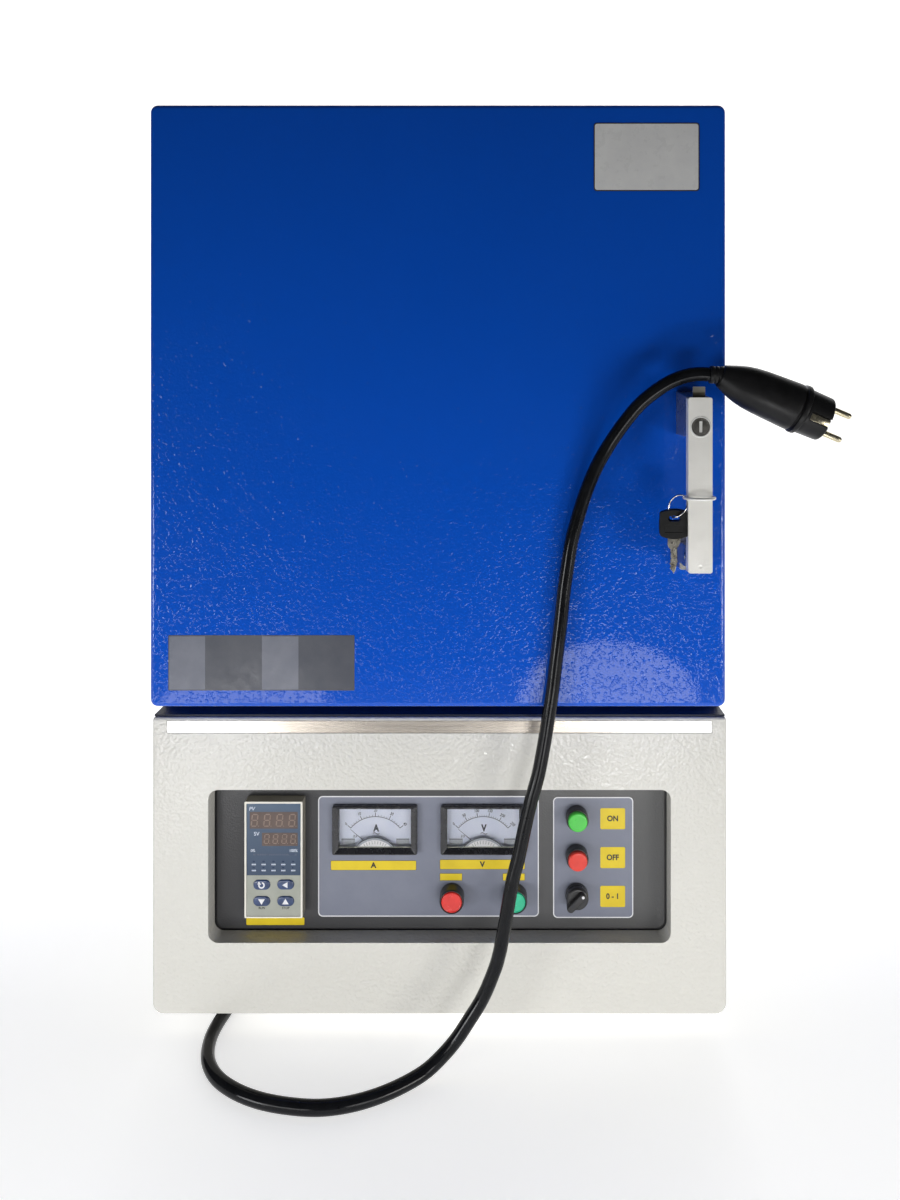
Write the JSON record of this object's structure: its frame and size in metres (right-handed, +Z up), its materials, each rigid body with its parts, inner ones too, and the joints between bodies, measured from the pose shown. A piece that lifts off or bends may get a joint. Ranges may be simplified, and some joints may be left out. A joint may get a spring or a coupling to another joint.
{
  "type": "dental lab furnace",
  "caption": "Bench-top dental lab furnace: blue side-hinged door with lever handle, insulated chamber, grey base with recessed control panel, and a mains cord hung over the handle.",
  "frame": {"origin": "on the floor, under the middle of the furnace's own box, the free cord and its plug left out", "axes": "+Z up, -Y towards the door and the control panel (the front), +X to the right as seen from the front, where the handle is"},
  "size_m": [0.5524, 0.7072, 0.762],
  "materials": {
    "blue_paint": "glossy orange-peel powder coat",
    "grey_paint": "satin orange-peel powder coat",
    "black_paint": "satin",
    "stainless": "brushed",
    "satin_alloy": "satin",
    "core_steel": "dark satin",
    "heater_alloy": "oxidised",
    "ceramic_fibre": "matt fibrous",
    "hearth_ceramic": "matt ceramic",
    "black_plastic": "satin",
    "beige_plastic": "satin",
    "navy_keys": "satin",
    "needle": "painted black",
    "clear_lens": "clear",
    "red_plastic": "satin",
    "green_plastic": "satin",
    "teal_plastic": "satin",
    "black_rubber": "matt"
  },
  "bodies": {
    "base": {"base_front_panel": "grey_paint", "front_trim_strip": "stainless", "base_housing": "grey_paint", "deck_plate": "black_paint", "foot_front_left": "black_rubber", "foot_front_right": "black_rubber", "foot_rear_left": "black_rubber", "foot_rear_right": "black_rubber", "control_panel": "black_paint", "controller_case": "beige_plastic", "ammeter_case": "black_plastic", "ammeter_lens": "clear_lens", "voltmeter_case": "black_plastic", "voltmeter_lens": "clear_lens", "fault_lamp_body": "black_plastic", "fault_lamp_lens": "red_plastic", "run_lamp_body": "black_plastic", "run_lamp_lens": "teal_plastic", "on_button_body": "black_plastic", "off_button_body": "black_plastic", "selector_body": "black_plastic", "transformer": "core_steel", "power_module": "satin_alloy", "fan_frame": "black_plastic", "upper_shell": "blue_paint", "front_frame": "blue_paint", "insulation_chamber": "ceramic_fibre", "hearth_plate": "hearth_ceramic", "heating_element_left": "heater_alloy", "heating_element_right": "heater_alloy", "thermocouple": "hearth_ceramic", "hinge_lower_fixed": "stainless", "hinge_upper_fixed": "stainless", "cord_gland": "black_rubber", "cord_floor": "black_rubber"},
    "door": {"door_skin": "blue_paint", "door_liner": "stainless", "door_insulation": "ceramic_fibre", "hinge_lower_moving": "stainless", "hinge_upper_moving": "stainless", "latch_upper_post": "satin_alloy", "latch_lower_post": "satin_alloy", "cord_riser": "black_rubber", "plug_body": "black_rubber", "plug_pins": "stainless"},
    "lever": {"latch_lever": "satin_alloy", "key_ring": "stainless"},
    "lock": {"lock_cylinder": "core_steel"},
    "keys": {"key": "black_plastic"},
    "tongue": {"latch_tongue": "stainless"},
    "on_cap": {"on_button_cap": "green_plastic"},
    "off_cap": {"off_button_cap": "red_plastic"},
    "selector": {"selector_knob": "black_plastic"},
    "loop_key": {"key_loop": "navy_keys"},
    "shift_key": {"key_shift": "navy_keys"},
    "down_key": {"key_down": "navy_keys"},
    "up_key": {"key_up": "navy_keys"},
    "amp_needle": {"ammeter_needle": "needle"},
    "volt_needle": {"voltmeter_needle": "needle"},
    "fan": {"fan_rotor": "black_plastic"}
  },
  "joints": [
    {"name": "door_swing", "type": "hinge", "parent": "base", "child": "door", "pos_m": [-0.2342, -0.21715, 0.5175], "axis": [0, 0, -1], "range_deg": [0, 110]},
    {"name": "lever_lift", "type": "hinge", "parent": "door", "child": "lever", "pos_m": [0.19715, -0.29445, 0.4055], "axis": [1, 0, 0], "range_deg": [0, 50]},
    {"name": "lock_turn", "type": "hinge", "parent": "lever", "child": "lock", "pos_m": [0.1973, -0.31095, 0.5037], "axis": [0, 1, 0], "range_deg": [0, 90]},
    {"name": "keys_swing", "type": "hinge", "parent": "lever", "child": "keys", "pos_m": [0.1852, -0.30715, 0.4508], "axis": [0, 1, 0], "range_deg": [0, 25]},
    {"name": "tongue_slide", "type": "slide", "parent": "door", "child": "tongue", "axis": [0, 0, 1], "range_m": [0, 0.008]},
    {"name": "on_press", "type": "slide", "parent": "base", "child": "on_cap", "axis": [0, 1, 0], "range_m": [0, 0.0025], "stiffness_N_per_m": 300},
    {"name": "off_press", "type": "slide", "parent": "base", "child": "off_cap", "axis": [0, 1, 0], "range_m": [0, 0.0025], "stiffness_N_per_m": 300},
    {"name": "selector_turn", "type": "hinge", "parent": "base", "child": "selector", "pos_m": [0.1138, -0.23395, 0.1092], "axis": [0, -1, 0], "range_deg": [0, 90]},
    {"name": "loop_key_press", "type": "slide", "parent": "base", "child": "loop_key", "axis": [0, 1, 0], "range_m": [0, 0.0008], "stiffness_N_per_m": 500},
    {"name": "shift_key_press", "type": "slide", "parent": "base", "child": "shift_key", "axis": [0, 1, 0], "range_m": [0, 0.0008], "stiffness_N_per_m": 500},
    {"name": "down_key_press", "type": "slide", "parent": "base", "child": "down_key", "axis": [0, 1, 0], "range_m": [0, 0.0008], "stiffness_N_per_m": 500},
    {"name": "up_key_press", "type": "slide", "parent": "base", "child": "up_key", "axis": [0, 1, 0], "range_m": [0, 0.0008], "stiffness_N_per_m": 500},
    {"name": "amp_needle_turn", "type": "hinge", "parent": "base", "child": "amp_needle", "pos_m": [-0.0548, -0.22405, 0.1461], "axis": [0, 1, 0], "range_deg": [0, 100], "stiffness_Nm_per_rad": 0.00005},
    {"name": "volt_needle_turn", "type": "hinge", "parent": "base", "child": "volt_needle", "pos_m": [0.0356, -0.22405, 0.1461], "axis": [0, 1, 0], "range_deg": [0, 100], "stiffness_Nm_per_rad": 0.00005},
    {"name": "fan_spin", "type": "hinge", "parent": "base", "child": "fan", "pos_m": [0.11, 0.26605, 0.15], "axis": [0, 1, 0], "continuous": true}
  ],
  "couplings": [
    {"joint": "tongue_slide", "follows": "lever_lift", "m_per_rad": 0.00916}
  ]
}
